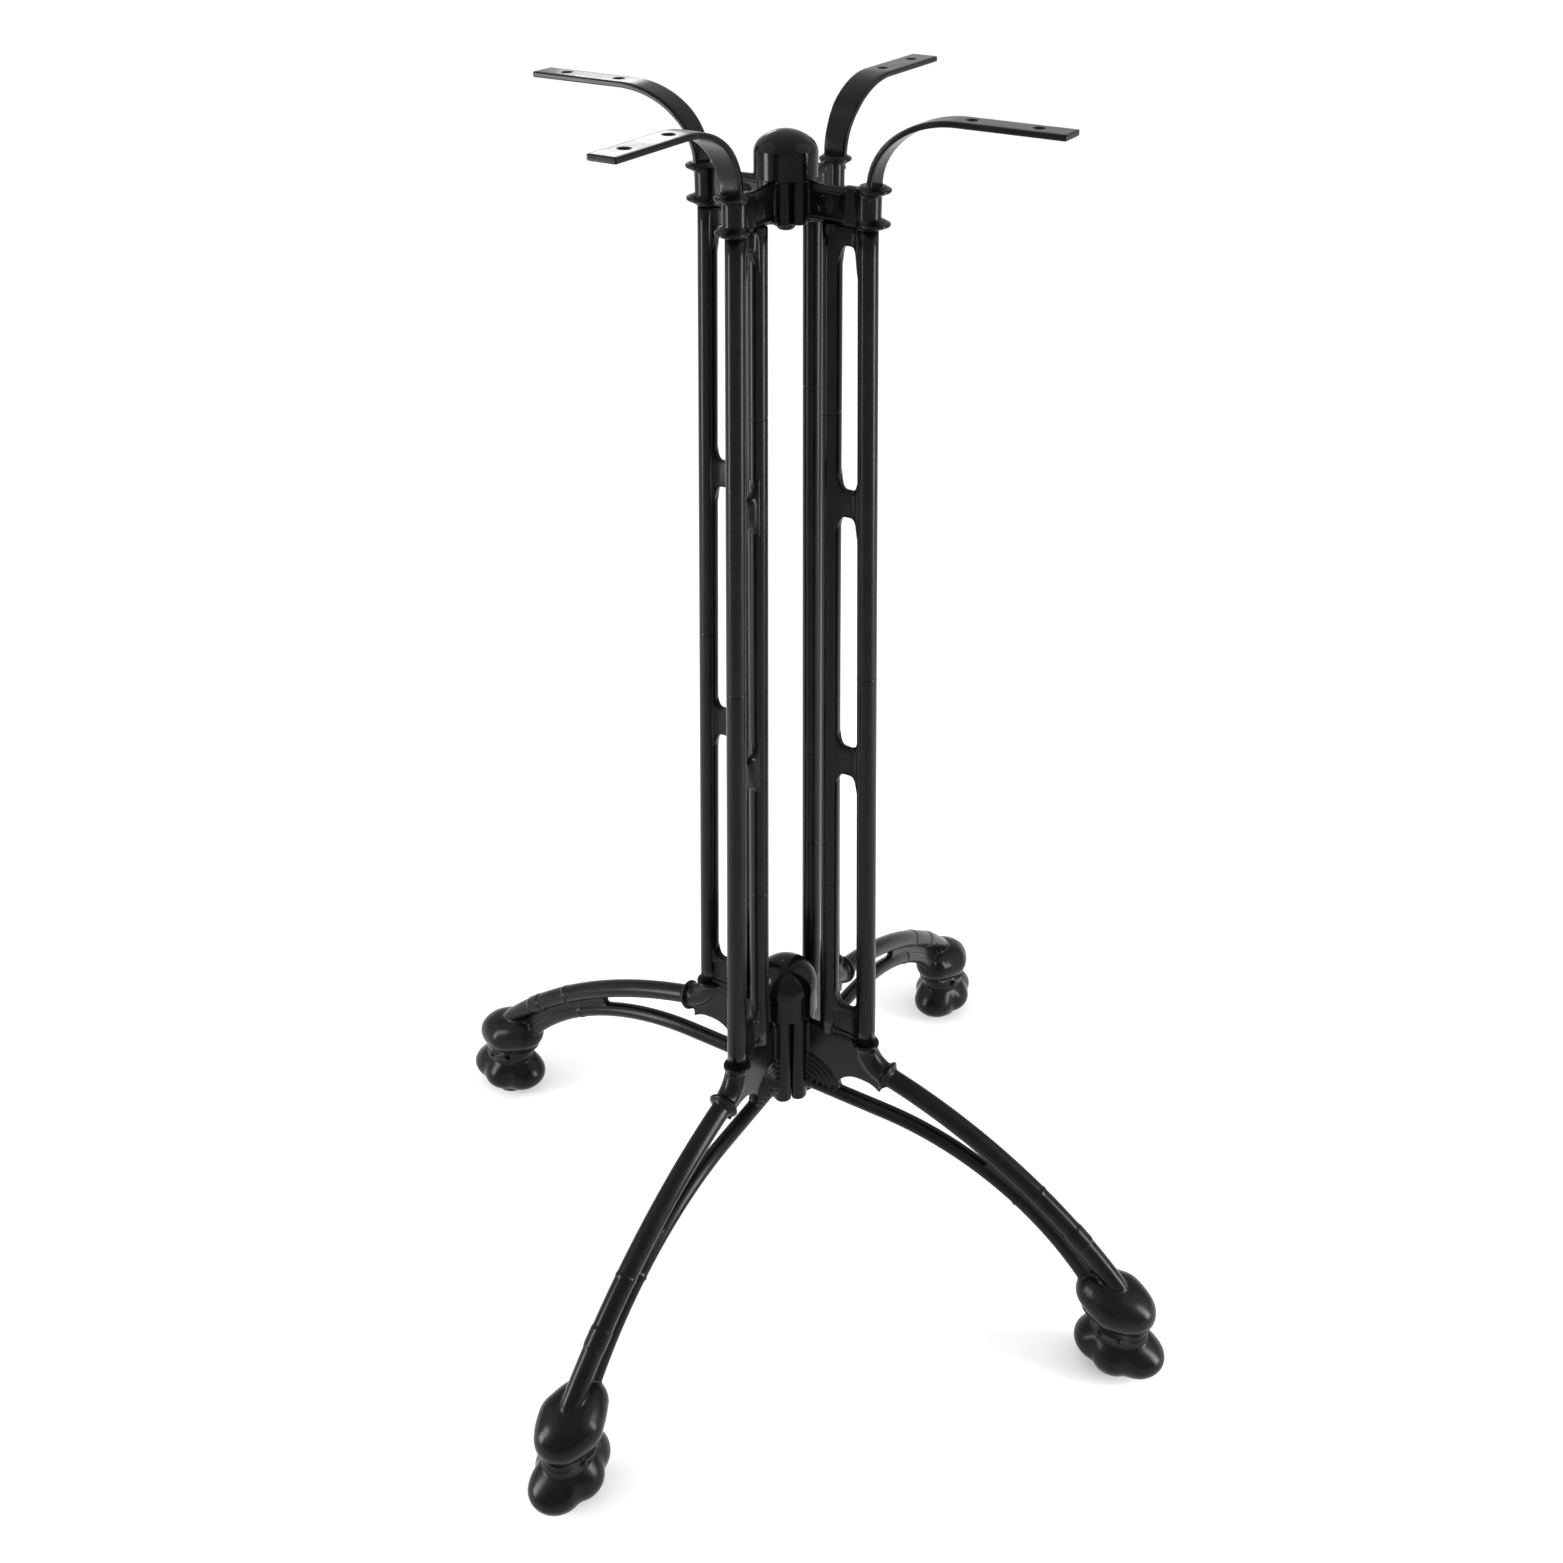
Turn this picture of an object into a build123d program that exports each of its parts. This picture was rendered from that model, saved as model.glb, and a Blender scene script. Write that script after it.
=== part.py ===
from build123d import *
import math
import os

# Bar-height table base: four identical cast branches clamped round a central axis.
# Millimetres. +Z up, origin on the floor on the axis. Each branch is drawn along +X
# (x is the distance from the axis, y is sideways) and turned about the axis.

# ---------------------------------------------------------------- driving dimensions
BRANCHES = {"right": 0, "back": 90, "left": 180, "front": 270}
total_height = 1080.0            # floor to the upper face of the arm tabs
foot_reach = 359.5               # axis to the centre of each foot
tab_reach = 207.0                # axis to the tip of each arm

# hubs
arm_rise = 78.0                  # underside of the top web to the tab faces
top_hub_z = total_height - arm_rise
top_web_height = 27.0
top_boss_height = 30.0
low_boss_z = 178.0               # underside of the bottom boss
low_hub_z = 272.0                # upper edge of the leg web, where the column stands
low_boss_top = 280.0
web_thickness = 8.0
boss_core_radius = 14.0          # top hub
rib_radius = 6.8
rib_circle = 13.4
low_boss_core_radius = 18.0      # bottom hub
low_rib_radius = 8.6
low_rib_circle = 17.2
rib_angle = 22.0
panel_recess = 1.5
panel_start = 21.0
panel_end = 46.0
panel_margin = 4.5
panel_stud_radius = 3.2

# column frame: the two rods lean and thicken from the top hub to the bottom hub
outer_rod_top = 66.3             # axis to rod centre at the top hub
outer_rod_low = 85.7             # axis to rod centre at the bottom hub
inner_rod_top = 37.5
inner_rod_low = 47.0
outer_rod_radius_top = 7.0
outer_rod_radius_low = 8.4
inner_rod_radius_top = 6.2
inner_rod_radius_low = 7.6
frame_web_thickness = 7.0
low_panel_height = 38.0
cross_web_heights = (27.0, 22.0) # the lower and the upper cross web
top_strip_height = 13.0
slot_shares = (0.392, 0.323, 0.285)
slot_corner = 5.0
low_panel_recess = 1.5
low_panel_margin = 6.0

# sockets, spigots and their roll pins
socket_radius = 9.0
bead_radius = 12.0
bead_height = 3.2
bead_offset = 3.0                # the beads sit this much further out than the socket
bead_rises = (2.6, 25.0)         # from the web's underside to the undersides of the two beads
spigot_radius = 4.5
spigot_length = 9.0
tang_width = 11.0
tang_depth = 14.0
pin_radius = 1.5

# table arm
strap_width = 22.0
strap_thickness = 4.0
strap_bend_radius = 46.0         # of the strap's middle line
tab_hole_radius = 2.75
tab_holes = (138.0, 184.0)

# leg
knuckle_radius = 10.0
knuckle_bend = 34.0
knuckle_turn = 76.0
leg_ring_radius = 14.0
leg_ring_thickness = 5.0
upper_rail_radius = 9.2
upper_rail_end_inset = 19.0      # the rails end inside the foot, this far short of its centre
upper_rail_end_z = 106.0
lower_rail_radius = 7.4
lower_rail_z = 194.5
lower_rail_bend_start = 110.0
lower_rail_end_inset = 34.4
lower_rail_end_z = 89.6
rail_web_thickness = 7.0
rail_web_start = 0.42            # share of the upper rail where the slot ends
arch_start = 52.0
arch_end = 98.0
arch_rise = 24.0

# foot: two tiers of four lobes round a core
upper_tier_inset = 7.5           # the upper tier sits this much nearer the axis
upper_tier_z = 88.0
upper_lobe_radius = 21.0
upper_lobe_offset = 14.0
crown_radius = 27.0
waist_radius = 22.0
lower_lobe_radius = 23.5
lower_lobe_offset = 20.0
lower_tier_height = 40.0
lower_lobe_round = 15.0
foot_clearance = 8.0             # floor to the underside of the casting

# leveller
stud_radius = 4.0
running_gap = 0.06
insert_radius = 6.5
insert_length = 18.0
stud_length = 45.0
stud_start = 2.5
stud_room = 4.6                  # radius of the clear hole above the insert
stud_travel_room = 4.0
pad_radius = 15.0
pad_height = 7.0

# caps and clamping
cap_wall = 4.0
top_cap_radius = 22.4
top_cap_height = 30.5
top_cap_shoulder = 12.0          # radius of the bend from skirt to crown
low_cap_radius = 29.5
low_cap_height = 53.0
low_cap_shoulder = 27.0
shoulder_turn = 50.0             # degrees of that bend
cap_post_radius = 8.0
bolt_radius = 4.0
bolt_clearance = 0.5
bolt_head_radius = 7.0
bolt_head_height = 6.5
washer_radius = 16.0
washer_height = 2.0
nut_flats = 13.0
nut_height = 6.5
bolt_into_cap = 9.0
post_clearance = 1.0


# ---------------------------------------------------------------- helpers
def lean(z, at_top, at_low):
    """Value at height z of something that changes evenly between the two hubs."""
    share = (z - low_hub_z) / (top_hub_z - low_hub_z)
    return at_low + share * (at_top - at_low)


def upright(radius, low, high, x=0.0, y=0.0):
    """Round bar standing between two heights."""
    return Pos(x, y, low) * Cylinder(radius, high - low, align=(Align.CENTER, Align.CENTER, Align.MIN))


def sideways_pin(x, z, length):
    """Round pin lying across the branch."""
    return Pos(x, 0, z) * Rot(90, 0, 0) * Cylinder(pin_radius, length)


def slab(outline, thickness):
    """Flat plate in the branch's own upright plane, from an outline of (x, z) points."""
    return extrude(Plane.XZ * make_face(Polyline(*outline, close=True)), thickness / 2, both=True)


def rounded_disc(radius, height):
    """Flat disc with a rounded rim, standing on its own origin."""
    disc = Cylinder(radius, height, align=(Align.CENTER, Align.CENTER, Align.MIN))
    return fillet(disc.edges().filter_by(GeomType.CIRCLE), height * 0.45)


def boss_quarter(low, high, core, rib, circle):
    """One quarter of a hub: a core with two half-round ribs, cut on the seam planes."""
    height = high - low
    body = upright(core, low, high)
    for side in (-1, 1):
        angle = math.radians(side * rib_angle)
        body += upright(rib, low, high, circle * math.cos(angle), circle * math.sin(angle))
    reach = 3 * core
    wedge = extrude(make_face(Polyline((0, 0), (reach, -reach), (reach, reach), close=True)), height)
    return body & (Pos(0, 0, low) * wedge)


def branch(angle, shape):
    """A branch piece turned to its place round the axis."""
    return Rot(0, 0, angle) * shape


def hexagon_nut(flats, height):
    """Hexagonal prism standing on its own origin."""
    return extrude(RegularPolygon(flats / 2, 6, major_radius=False), height)


# ---------------------------------------------------------------- top hub casting
def arm_bracket():
    web_top = top_hub_z + top_web_height
    boss_low = web_top + 1.0 - top_boss_height
    body = boss_quarter(boss_low, web_top + 1.0, boss_core_radius, rib_radius, rib_circle)
    body += slab([(rib_circle, top_hub_z), (outer_rod_top, top_hub_z),
                  (outer_rod_top, web_top), (rib_circle, web_top)], web_thickness)
    body += upright(socket_radius, top_hub_z, web_top, outer_rod_top)
    for rise in bead_rises:
        body += Pos(outer_rod_top + bead_offset, 0, top_hub_z + rise) * rounded_disc(bead_radius, bead_height)
    panel_low = top_hub_z + panel_margin
    panel_high = web_top - panel_margin
    panel = slab([(panel_start, panel_low), (panel_end, panel_low),
                  (panel_end, panel_high), (panel_start, panel_high)], panel_recess)
    middle = ((panel_start + panel_end) / 2, (panel_low + panel_high) / 2)
    for side in (-1, 1):
        body -= Pos(0, side * (web_thickness - panel_recess) / 2, 0) * panel
    body += Pos(middle[0], 0, middle[1]) * Rot(90, 0, 0) * Cylinder(panel_stud_radius, web_thickness)
    body -= upright(bolt_radius + bolt_clearance, boss_low - 1, web_top + 2)
    body -= upright(spigot_radius, top_hub_z - 1, top_hub_z + spigot_length, outer_rod_top)
    body -= arm_tang(arm_root_z())
    body -= sideways_pin(outer_rod_top, top_hub_z + spigot_length / 2, 4 * socket_radius)
    body -= sideways_pin(outer_rod_top + bead_offset, arm_pin_z(), 4 * socket_radius)
    return body


def arm_root_z():
    """Height at which the strap leaves the upper bead."""
    return top_hub_z + bead_rises[1] + bead_height


def arm_pin_z():
    return arm_root_z() - tang_depth / 2


def arm_tang(high):
    """The narrow foot of the table arm that drops into the socket."""
    size = (strap_thickness, tang_width, tang_depth)
    tang = Box(*size, align=(Align.CENTER, Align.CENTER, Align.MAX))
    return Pos(outer_rod_top + bead_offset, 0, high) * tang


# ---------------------------------------------------------------- table arm
def table_arm():
    start_x = outer_rod_top + bead_offset
    tab_mid = total_height - strap_thickness / 2
    rise_end = tab_mid - strap_bend_radius
    bend_end = start_x + strap_bend_radius
    rise = Line((start_x, arm_root_z()), (start_x, rise_end))
    bend = JernArc((start_x, rise_end), (0, 1), strap_bend_radius, -90)
    tab = Line((bend_end, tab_mid), (tab_reach, tab_mid))
    route = Plane.XZ * (Curve() + [rise, bend, tab])
    section = Plane(origin=(start_x, 0, arm_root_z())) * Rectangle(strap_thickness, strap_width)
    body = sweep(section, path=route, transition=Transition.RIGHT)
    corners = body.edges().filter_by(Axis.Z).group_by(Axis.X)[-1]
    body = fillet(corners, strap_width * 0.12)
    body += arm_tang(arm_root_z())
    for hole in tab_holes:
        body -= upright(tab_hole_radius, tab_mid - strap_thickness, total_height + 1, hole)
    body -= sideways_pin(start_x, arm_pin_z(), 4 * socket_radius)
    return body


# ---------------------------------------------------------------- column frame
def leaning_rod(x_top, x_low, radius_top, radius_low):
    """Tapered rod between the hubs, cut level at both ends."""
    spare = 12.0
    top = Vector(lean(top_hub_z + spare, x_top, x_low), 0, top_hub_z + spare)
    low = Vector(lean(low_hub_z - spare, x_top, x_low), 0, low_hub_z - spare)
    run = top - low
    rod = Plane(origin=low, z_dir=run) * Cone(radius_low, radius_top, run.length,
                                              align=(Align.CENTER, Align.CENTER, Align.MIN))
    height = top_hub_z - low_hub_z
    keep = Pos(0, 0, low_hub_z) * Box(6 * x_low, 6 * radius_low, height,
                                      align=(Align.CENTER, Align.CENTER, Align.MIN))
    return rod & keep


def frame_edge(z, side):
    """Distance from the axis of the inner (side -1) or outer (side 1) edge of a slot."""
    if side < 0:
        return lean(z, inner_rod_top + inner_rod_radius_top, inner_rod_low + inner_rod_radius_low)
    return lean(z, outer_rod_top - outer_rod_radius_top, outer_rod_low - outer_rod_radius_low)


def slot_levels():
    """Lower and upper end of each opening between the rods."""
    low = low_hub_z + low_panel_height
    free = top_hub_z - top_strip_height - low - sum(cross_web_heights)
    levels = []
    for share, web in zip(slot_shares, cross_web_heights + (0.0,)):
        levels.append((low, low + share * free))
        low += share * free + web
    return levels


def slot_tool(low, high, thickness):
    """Opening between the rods, with rounded corners."""
    outline = Polyline((frame_edge(low, -1), low), (frame_edge(low, 1), low),
                       (frame_edge(high, 1), high), (frame_edge(high, -1), high), close=True)
    face = make_face(outline)
    narrow = min(frame_edge(z, 1) - frame_edge(z, -1) for z in (low, high))
    face = fillet(face.vertices(), min(slot_corner, 0.45 * narrow))
    return extrude(Plane.XZ * face, thickness / 2, both=True)


def column_frame():
    body = leaning_rod(outer_rod_top, outer_rod_low, outer_rod_radius_top, outer_rod_radius_low)
    body += leaning_rod(inner_rod_top, inner_rod_low, inner_rod_radius_top, inner_rod_radius_low)
    web = slab([(inner_rod_low, low_hub_z), (outer_rod_low, low_hub_z),
                (outer_rod_top, top_hub_z), (inner_rod_top, top_hub_z)], frame_web_thickness)
    for low, high in slot_levels():
        web -= slot_tool(low, high, 4 * frame_web_thickness)
    panel = slot_tool(low_hub_z + low_panel_margin, slot_levels()[0][0] - low_panel_margin, low_panel_recess)
    for side in (-1, 1):
        web -= Pos(0, side * (frame_web_thickness - low_panel_recess) / 2, 0) * panel
    body += web
    body += upright(spigot_radius, top_hub_z - 1, top_hub_z + spigot_length, outer_rod_top)
    body += upright(spigot_radius, low_hub_z - spigot_length, low_hub_z + 1, outer_rod_low)
    body -= sideways_pin(outer_rod_top, top_hub_z + spigot_length / 2, 4 * socket_radius)
    body -= sideways_pin(outer_rod_low, low_hub_z - spigot_length / 2, 4 * socket_radius)
    return body


# ---------------------------------------------------------------- leg
def knuckle_end():
    """End of the knuckle bend: its place (x, z) and its direction."""
    turn = math.radians(knuckle_turn)
    x = outer_rod_low + knuckle_bend * (1 - math.cos(turn))
    z = low_hub_z - knuckle_bend * math.sin(turn)
    return (x, z), (math.sin(turn), -math.cos(turn))


def tube_along(route, radius):
    """Round bar along a route in the branch's upright plane."""
    return sweep(Plane(origin=route @ 0, z_dir=route % 0) * Circle(radius), path=route)


def rails():
    """Middle lines of the upper and the lower rail."""
    start, heading = knuckle_end()
    upper = TangentArc(start, (foot_reach - upper_rail_end_inset, upper_rail_end_z), tangent=heading)
    lower = TangentArc((lower_rail_bend_start, lower_rail_z),
                       (foot_reach - lower_rail_end_inset, lower_rail_end_z), tangent=(1, 0))
    return upper, lower


def foot():
    """Two tiers of four lobes round a core, hollow for the leveller."""
    upper_tier_x = foot_reach - upper_tier_inset
    body = upright(waist_radius, foot_clearance + 2, upper_tier_z, foot_reach - upper_tier_inset / 2)
    body += Pos(upper_tier_x, 0, upper_tier_z) * Sphere(crown_radius)
    for quarter in range(4):
        turn = math.radians(90 * quarter)
        across = (math.cos(turn), math.sin(turn))
        body += Pos(upper_tier_x + upper_lobe_offset * across[0], upper_lobe_offset * across[1],
                    upper_tier_z) * Sphere(upper_lobe_radius)
        lobe = Cylinder(lower_lobe_radius, lower_tier_height, align=(Align.CENTER, Align.CENTER, Align.MIN))
        lobe = fillet(lobe.edges().filter_by(GeomType.CIRCLE), lower_lobe_round)
        body += Pos(foot_reach + lower_lobe_offset * across[0], lower_lobe_offset * across[1],
                    foot_clearance) * lobe
    return body


def leg():
    upper, lower = rails()
    body = boss_quarter(low_boss_z, low_boss_top, low_boss_core_radius, low_rib_radius, low_rib_circle)
    web_low = lower_rail_z
    web = slab([(low_rib_circle, web_low), (arch_start, web_low), (arch_end, web_low),
                (knuckle_end()[0][0], knuckle_end()[0][1]), (outer_rod_low, low_hub_z),
                (low_rib_circle, low_hub_z)], web_thickness)
    arch = make_face(Curve() + [Line((arch_start, web_low), (arch_end + 20, web_low)),
                                Line((arch_end + 20, web_low), (arch_end + 20, web_low + arch_rise)),
                                Line((arch_end + 20, web_low + arch_rise), (arch_end - 16, web_low + arch_rise + 6)),
                                ThreePointArc((arch_end - 16, web_low + arch_rise + 6),
                                              (arch_start + 12, web_low + arch_rise - 2),
                                              (arch_start, web_low))])
    web -= extrude(Plane.XZ * arch, web_thickness, both=True)
    body += web
    bend = JernArc((outer_rod_low, low_hub_z), (0, -1), knuckle_bend, knuckle_turn)
    body += tube_along(Plane.XZ * bend, knuckle_radius)
    body += Pos(outer_rod_low, 0, low_hub_z - bead_height) * rounded_disc(bead_radius, bead_height)
    (ring_x, ring_z), (ahead_x, ahead_z) = knuckle_end()
    ring = Plane(origin=(ring_x, 0, ring_z), z_dir=(ahead_x, 0, ahead_z)) * rounded_disc(
        leg_ring_radius, leg_ring_thickness)
    body += ring
    body += tube_along(Plane.XZ * upper, upper_rail_radius)
    straight = Line((low_rib_circle, lower_rail_z), (lower_rail_bend_start, lower_rail_z))
    body += tube_along(Plane.XZ * straight, lower_rail_radius)
    body += tube_along(Plane.XZ * lower, lower_rail_radius)
    upper_part = upper.trim(rail_web_start, 1)
    lower_part = lower.trim(rail_web_start, 1)
    sheet = make_face(Curve() + [upper_part, Line(upper_part @ 1, lower_part @ 1),
                                 lower_part, Line(lower_part @ 0, upper_part @ 0)])
    body += extrude(Plane.XZ * sheet, rail_web_thickness / 2, both=True)
    body += foot()
    insert_top = foot_clearance + insert_length
    stud_top = stud_start + stud_length + stud_travel_room
    body -= upright(insert_radius, foot_clearance - 1, insert_top, foot_reach)
    body -= upright(stud_room, insert_top - 1, stud_top, foot_reach)
    body -= upright(bolt_radius + bolt_clearance, low_boss_z - 1, low_boss_top + 1)
    body -= upright(bolt_head_radius + bolt_clearance, low_boss_z - 1, low_boss_z + bolt_head_height)
    body -= upright(spigot_radius, low_hub_z - spigot_length, low_hub_z + 1, outer_rod_low)
    body -= sideways_pin(outer_rod_low, low_hub_z - spigot_length / 2, 4 * socket_radius)
    return body


# ---------------------------------------------------------------- pins
def pin_group(x, z, length):
    """The same roll pin in each of the four branches."""
    return Compound(children=[branch(angle, sideways_pin(x, z, length)) for angle in BRANCHES.values()])


# ---------------------------------------------------------------- caps and clamping
def dome_section(radius, shoulder, height):
    """Half section of a dome: a straight skirt, a shoulder arc and a crown arc, all tangent."""
    turn = math.radians(shoulder_turn)
    crown = (radius - shoulder * (1 - math.cos(turn))) / math.cos(turn)
    skirt = height - shoulder * math.sin(turn) - crown * (1 - math.sin(turn))
    wall = Line((radius, 0), (radius, skirt))
    bend = JernArc(wall @ 1, (0, 1), shoulder, shoulder_turn)
    top = JernArc(bend @ 1, bend % 1, crown, 90 - shoulder_turn)
    return make_face(Curve() + [Line((0, 0), (radius, 0)), wall, bend, top, Line(top @ 1, (0, 0))])


def cap(base_z, radius, height, shoulder):
    """Domed cap, hollow round a threaded post."""
    body = revolve(Plane.XZ * dome_section(radius, shoulder, height), Axis.Z)
    hollow = dome_section(radius - cap_wall, shoulder - cap_wall, height - cap_wall)
    body -= revolve(Plane.XZ * hollow, Axis.Z)
    post_low = washer_height + nut_height + post_clearance
    body += upright(cap_post_radius, post_low, height - cap_wall / 2)
    body -= upright(bolt_radius, post_low - 1, post_low + bolt_into_cap)
    return Pos(0, 0, base_z) * body


def tie_bolt(boss_low, boss_top, head_low):
    """Bolt through a hub, from a rounded head below to the threaded post of the cap."""
    tip = boss_top + washer_height + nut_height + post_clearance + bolt_into_cap
    head = Cylinder(bolt_head_radius, bolt_head_height, align=(Align.CENTER, Align.CENTER, Align.MIN))
    low_rim = head.edges().filter_by(GeomType.CIRCLE).sort_by(Axis.Z)[0]
    head = fillet(low_rim, bolt_head_height * 0.6)
    return Pos(0, 0, head_low) * head + upright(bolt_radius, head_low + 1, tip)


def clamp_washer(base_z):
    return upright(washer_radius, base_z, base_z + washer_height) - upright(
        bolt_radius + bolt_clearance, base_z - 1, base_z + 2 * washer_height)


def clamp_nut(base_z):
    return Pos(0, 0, base_z) * (hexagon_nut(nut_flats, nut_height) - upright(bolt_radius, -1, nut_height + 1))


# ---------------------------------------------------------------- levellers
def insert_group():
    """Threaded inserts pressed into the four feet."""
    ring = upright(insert_radius, foot_clearance, foot_clearance + insert_length, foot_reach)
    ring -= upright(stud_radius + running_gap, 0, foot_clearance + insert_length + 1, foot_reach)
    return Compound(children=[branch(angle, ring) for angle in BRANCHES.values()])


def leveller_stud():
    return upright(stud_radius, stud_start, stud_start + stud_length, foot_reach)


def leveller_pad():
    disc = Cylinder(pad_radius, pad_height, align=(Align.CENTER, Align.CENTER, Align.MIN))
    disc = fillet(disc.edges().filter_by(GeomType.CIRCLE).sort_by(Axis.Z)[-1], pad_height * 0.3)
    cup = upright(stud_radius + running_gap, stud_start, pad_height + 1)
    return Pos(foot_reach, 0, 0) * (disc - cup)


# ---------------------------------------------------------------- build and write
def build():
    nodes = {}
    makers = {"arm_bracket": arm_bracket, "table_arm": table_arm, "column_frame": column_frame,
              "leg": leg, "leveller_stud": leveller_stud, "leveller_pad": leveller_pad}
    for name, maker in makers.items():
        shape = maker()
        for side, angle in BRANCHES.items():
            nodes[f"{name}_{side}"] = branch(angle, shape)
    top_face = top_hub_z + top_web_height + 1.0
    top_boss_low = top_face - top_boss_height
    nodes["arm_pins"] = pin_group(outer_rod_top + bead_offset, arm_pin_z(), 2 * socket_radius - 2)
    nodes["column_top_pins"] = pin_group(outer_rod_top, top_hub_z + spigot_length / 2, 2 * socket_radius)
    nodes["column_foot_pins"] = pin_group(outer_rod_low, low_hub_z - spigot_length / 2, 2 * knuckle_radius)
    nodes["threaded_inserts"] = insert_group()
    nodes["top_tie_bolt"] = tie_bolt(top_boss_low, top_face, top_boss_low - bolt_head_height)
    nodes["top_clamp_washer"] = clamp_washer(top_face)
    nodes["top_clamp_nut"] = clamp_nut(top_face + washer_height)
    nodes["top_cap"] = cap(top_face, top_cap_radius, top_cap_height, top_cap_shoulder)
    nodes["bottom_tie_bolt"] = tie_bolt(low_boss_z, low_boss_top, low_boss_z)
    nodes["bottom_clamp_washer"] = clamp_washer(low_boss_top)
    nodes["bottom_clamp_nut"] = clamp_nut(low_boss_top + washer_height)
    nodes["bottom_cap"] = cap(low_boss_top, low_cap_radius, low_cap_height, low_cap_shoulder)
    return nodes


os.makedirs("parts", exist_ok=True)
for node_name, node_shape in build().items():
    export_step(node_shape, f"parts/{node_name}.step")
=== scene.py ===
import math

import bpy
import numpy as np
from mathutils import Matrix, Vector


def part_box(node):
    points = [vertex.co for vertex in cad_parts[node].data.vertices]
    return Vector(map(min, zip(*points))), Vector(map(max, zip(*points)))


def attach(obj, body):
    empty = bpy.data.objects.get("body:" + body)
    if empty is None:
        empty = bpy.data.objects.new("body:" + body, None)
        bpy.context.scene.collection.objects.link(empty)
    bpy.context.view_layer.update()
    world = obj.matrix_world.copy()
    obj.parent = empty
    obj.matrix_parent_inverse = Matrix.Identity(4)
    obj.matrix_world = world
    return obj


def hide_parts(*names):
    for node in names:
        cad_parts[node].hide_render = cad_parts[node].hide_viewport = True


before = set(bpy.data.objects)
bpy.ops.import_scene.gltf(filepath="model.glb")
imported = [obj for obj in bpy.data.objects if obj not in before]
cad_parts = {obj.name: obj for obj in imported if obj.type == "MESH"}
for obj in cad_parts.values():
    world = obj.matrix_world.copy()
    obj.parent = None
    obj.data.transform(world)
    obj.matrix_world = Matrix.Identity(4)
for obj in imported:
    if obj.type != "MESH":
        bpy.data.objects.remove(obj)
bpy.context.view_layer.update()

# Cast table base: the castings, arms and caps get their finished surfaces here.
# Every branch is drawn along +X (x from the axis, y sideways) in millimetres and turned into place.

MM = 0.001
BRANCHES = {"right": 0.0, "back": 90.0, "left": 180.0, "front": 270.0}


def corner(node, which):
    """A corner of a node's box, in millimetres."""
    return np.array(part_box(node)[which]) / MM


# ------------------------------------------------------------------ sizes read from the frame
FOOT_X = (corner("leveller_stud_right", 0)[0] + corner("leveller_stud_right", 1)[0]) / 2
LOW_BOSS_TOP = corner("leg_right", 1)[2]
LOW_BOSS = corner("bottom_tie_bolt", 0)[2]
TAB_TOP = corner("table_arm_right", 1)[2]
TAB_TIP = corner("table_arm_right", 1)[0]
STRAP_HALF = corner("table_arm_right", 1)[1]
TOP_BOSS = corner("arm_bracket_right", 0)[2]
BEAD_TOP = corner("arm_bracket_right", 1)[2]
TOP_HUB = TOP_BOSS + 2.0         # underside of the top web
TOP_WEB = TOP_HUB + 27.0         # upper edge of the top web
LOW_HUB = LOW_BOSS_TOP - 8.0     # upper edge of the leg web

# column rods: axis to rod centre, and rod radius, at the top and at the bottom hub
OUTER_ROD = (65.4, 85.4, 7.2, 8.8)
INNER_ROD = (37.5, 47.0, 7.2, 8.6)
ARM_X = OUTER_ROD[0] + 3.9       # the arm's root and both beads stand this far out
SCREW_HOLES = (138.0, 184.0)     # axis to the two screw holes of each tab


# ------------------------------------------------------------------ surface kit
def closed_rings(rings):
    """Closed skin over rings of points, shape (stations, around, 3), with a fan at each end."""
    count, around, _ = rings.shape
    index = np.arange(count * around).reshape(count, around)
    after = np.roll(index, -1, axis=1)
    quads = np.stack([index[:-1], after[:-1], after[1:], index[1:]], axis=-1).reshape(-1, 4)
    low, high = count * around, count * around + 1
    points = np.vstack([rings.reshape(-1, 3), rings[0].mean(axis=0), rings[-1].mean(axis=0)])
    low_fan = np.stack([after[0], index[0], np.full(around, low)], axis=-1)
    high_fan = np.stack([index[-1], after[-1], np.full(around, high)], axis=-1)
    return outward(points, quads, np.vstack([low_fan, high_fan]))


def outward(points, quads, tris):
    """Turns every face over when the skin encloses a negative volume."""
    fans = [quads[:, [0, 1, 2]], quads[:, [0, 2, 3]], tris]
    corners = points[np.vstack(fans)]
    volume = np.einsum("ij,ij->i", corners[:, 0], np.cross(corners[:, 1], corners[:, 2])).sum()
    if volume < 0:
        quads, tris = quads[:, ::-1], tris[:, ::-1]
    return points, quads, tris


def circle(around, power=2.0):
    """Unit superellipse: cosine and sine raised to 2 / power, keeping their signs."""
    angle = np.linspace(0, 2 * math.pi, around, endpoint=False)
    cos, sin = np.cos(angle), np.sin(angle)
    return np.sign(cos) * np.abs(cos) ** (2 / power), np.sign(sin) * np.abs(sin) ** (2 / power)


def bar(path, deep, wide, around=48, power=2.0):
    """Bar along a path in the branch plane: at each station centre + deep*cos*normal + wide*sin*Y."""
    path = np.asarray(path, float)
    run = np.gradient(path, axis=0)
    run /= np.linalg.norm(run, axis=1, keepdims=True)
    normal = np.stack([-run[:, 1], run[:, 0]], axis=1)
    cos, sin = circle(around, power)
    deep = np.broadcast_to(deep, len(path))[:, None]
    wide = np.broadcast_to(wide, len(path))[:, None]
    x = path[:, :1] + normal[:, :1] * deep * cos
    z = path[:, 1:] + normal[:, 1:] * deep * cos
    return closed_rings(np.stack([x, wide * sin + 0 * x, z], axis=-1))


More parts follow.
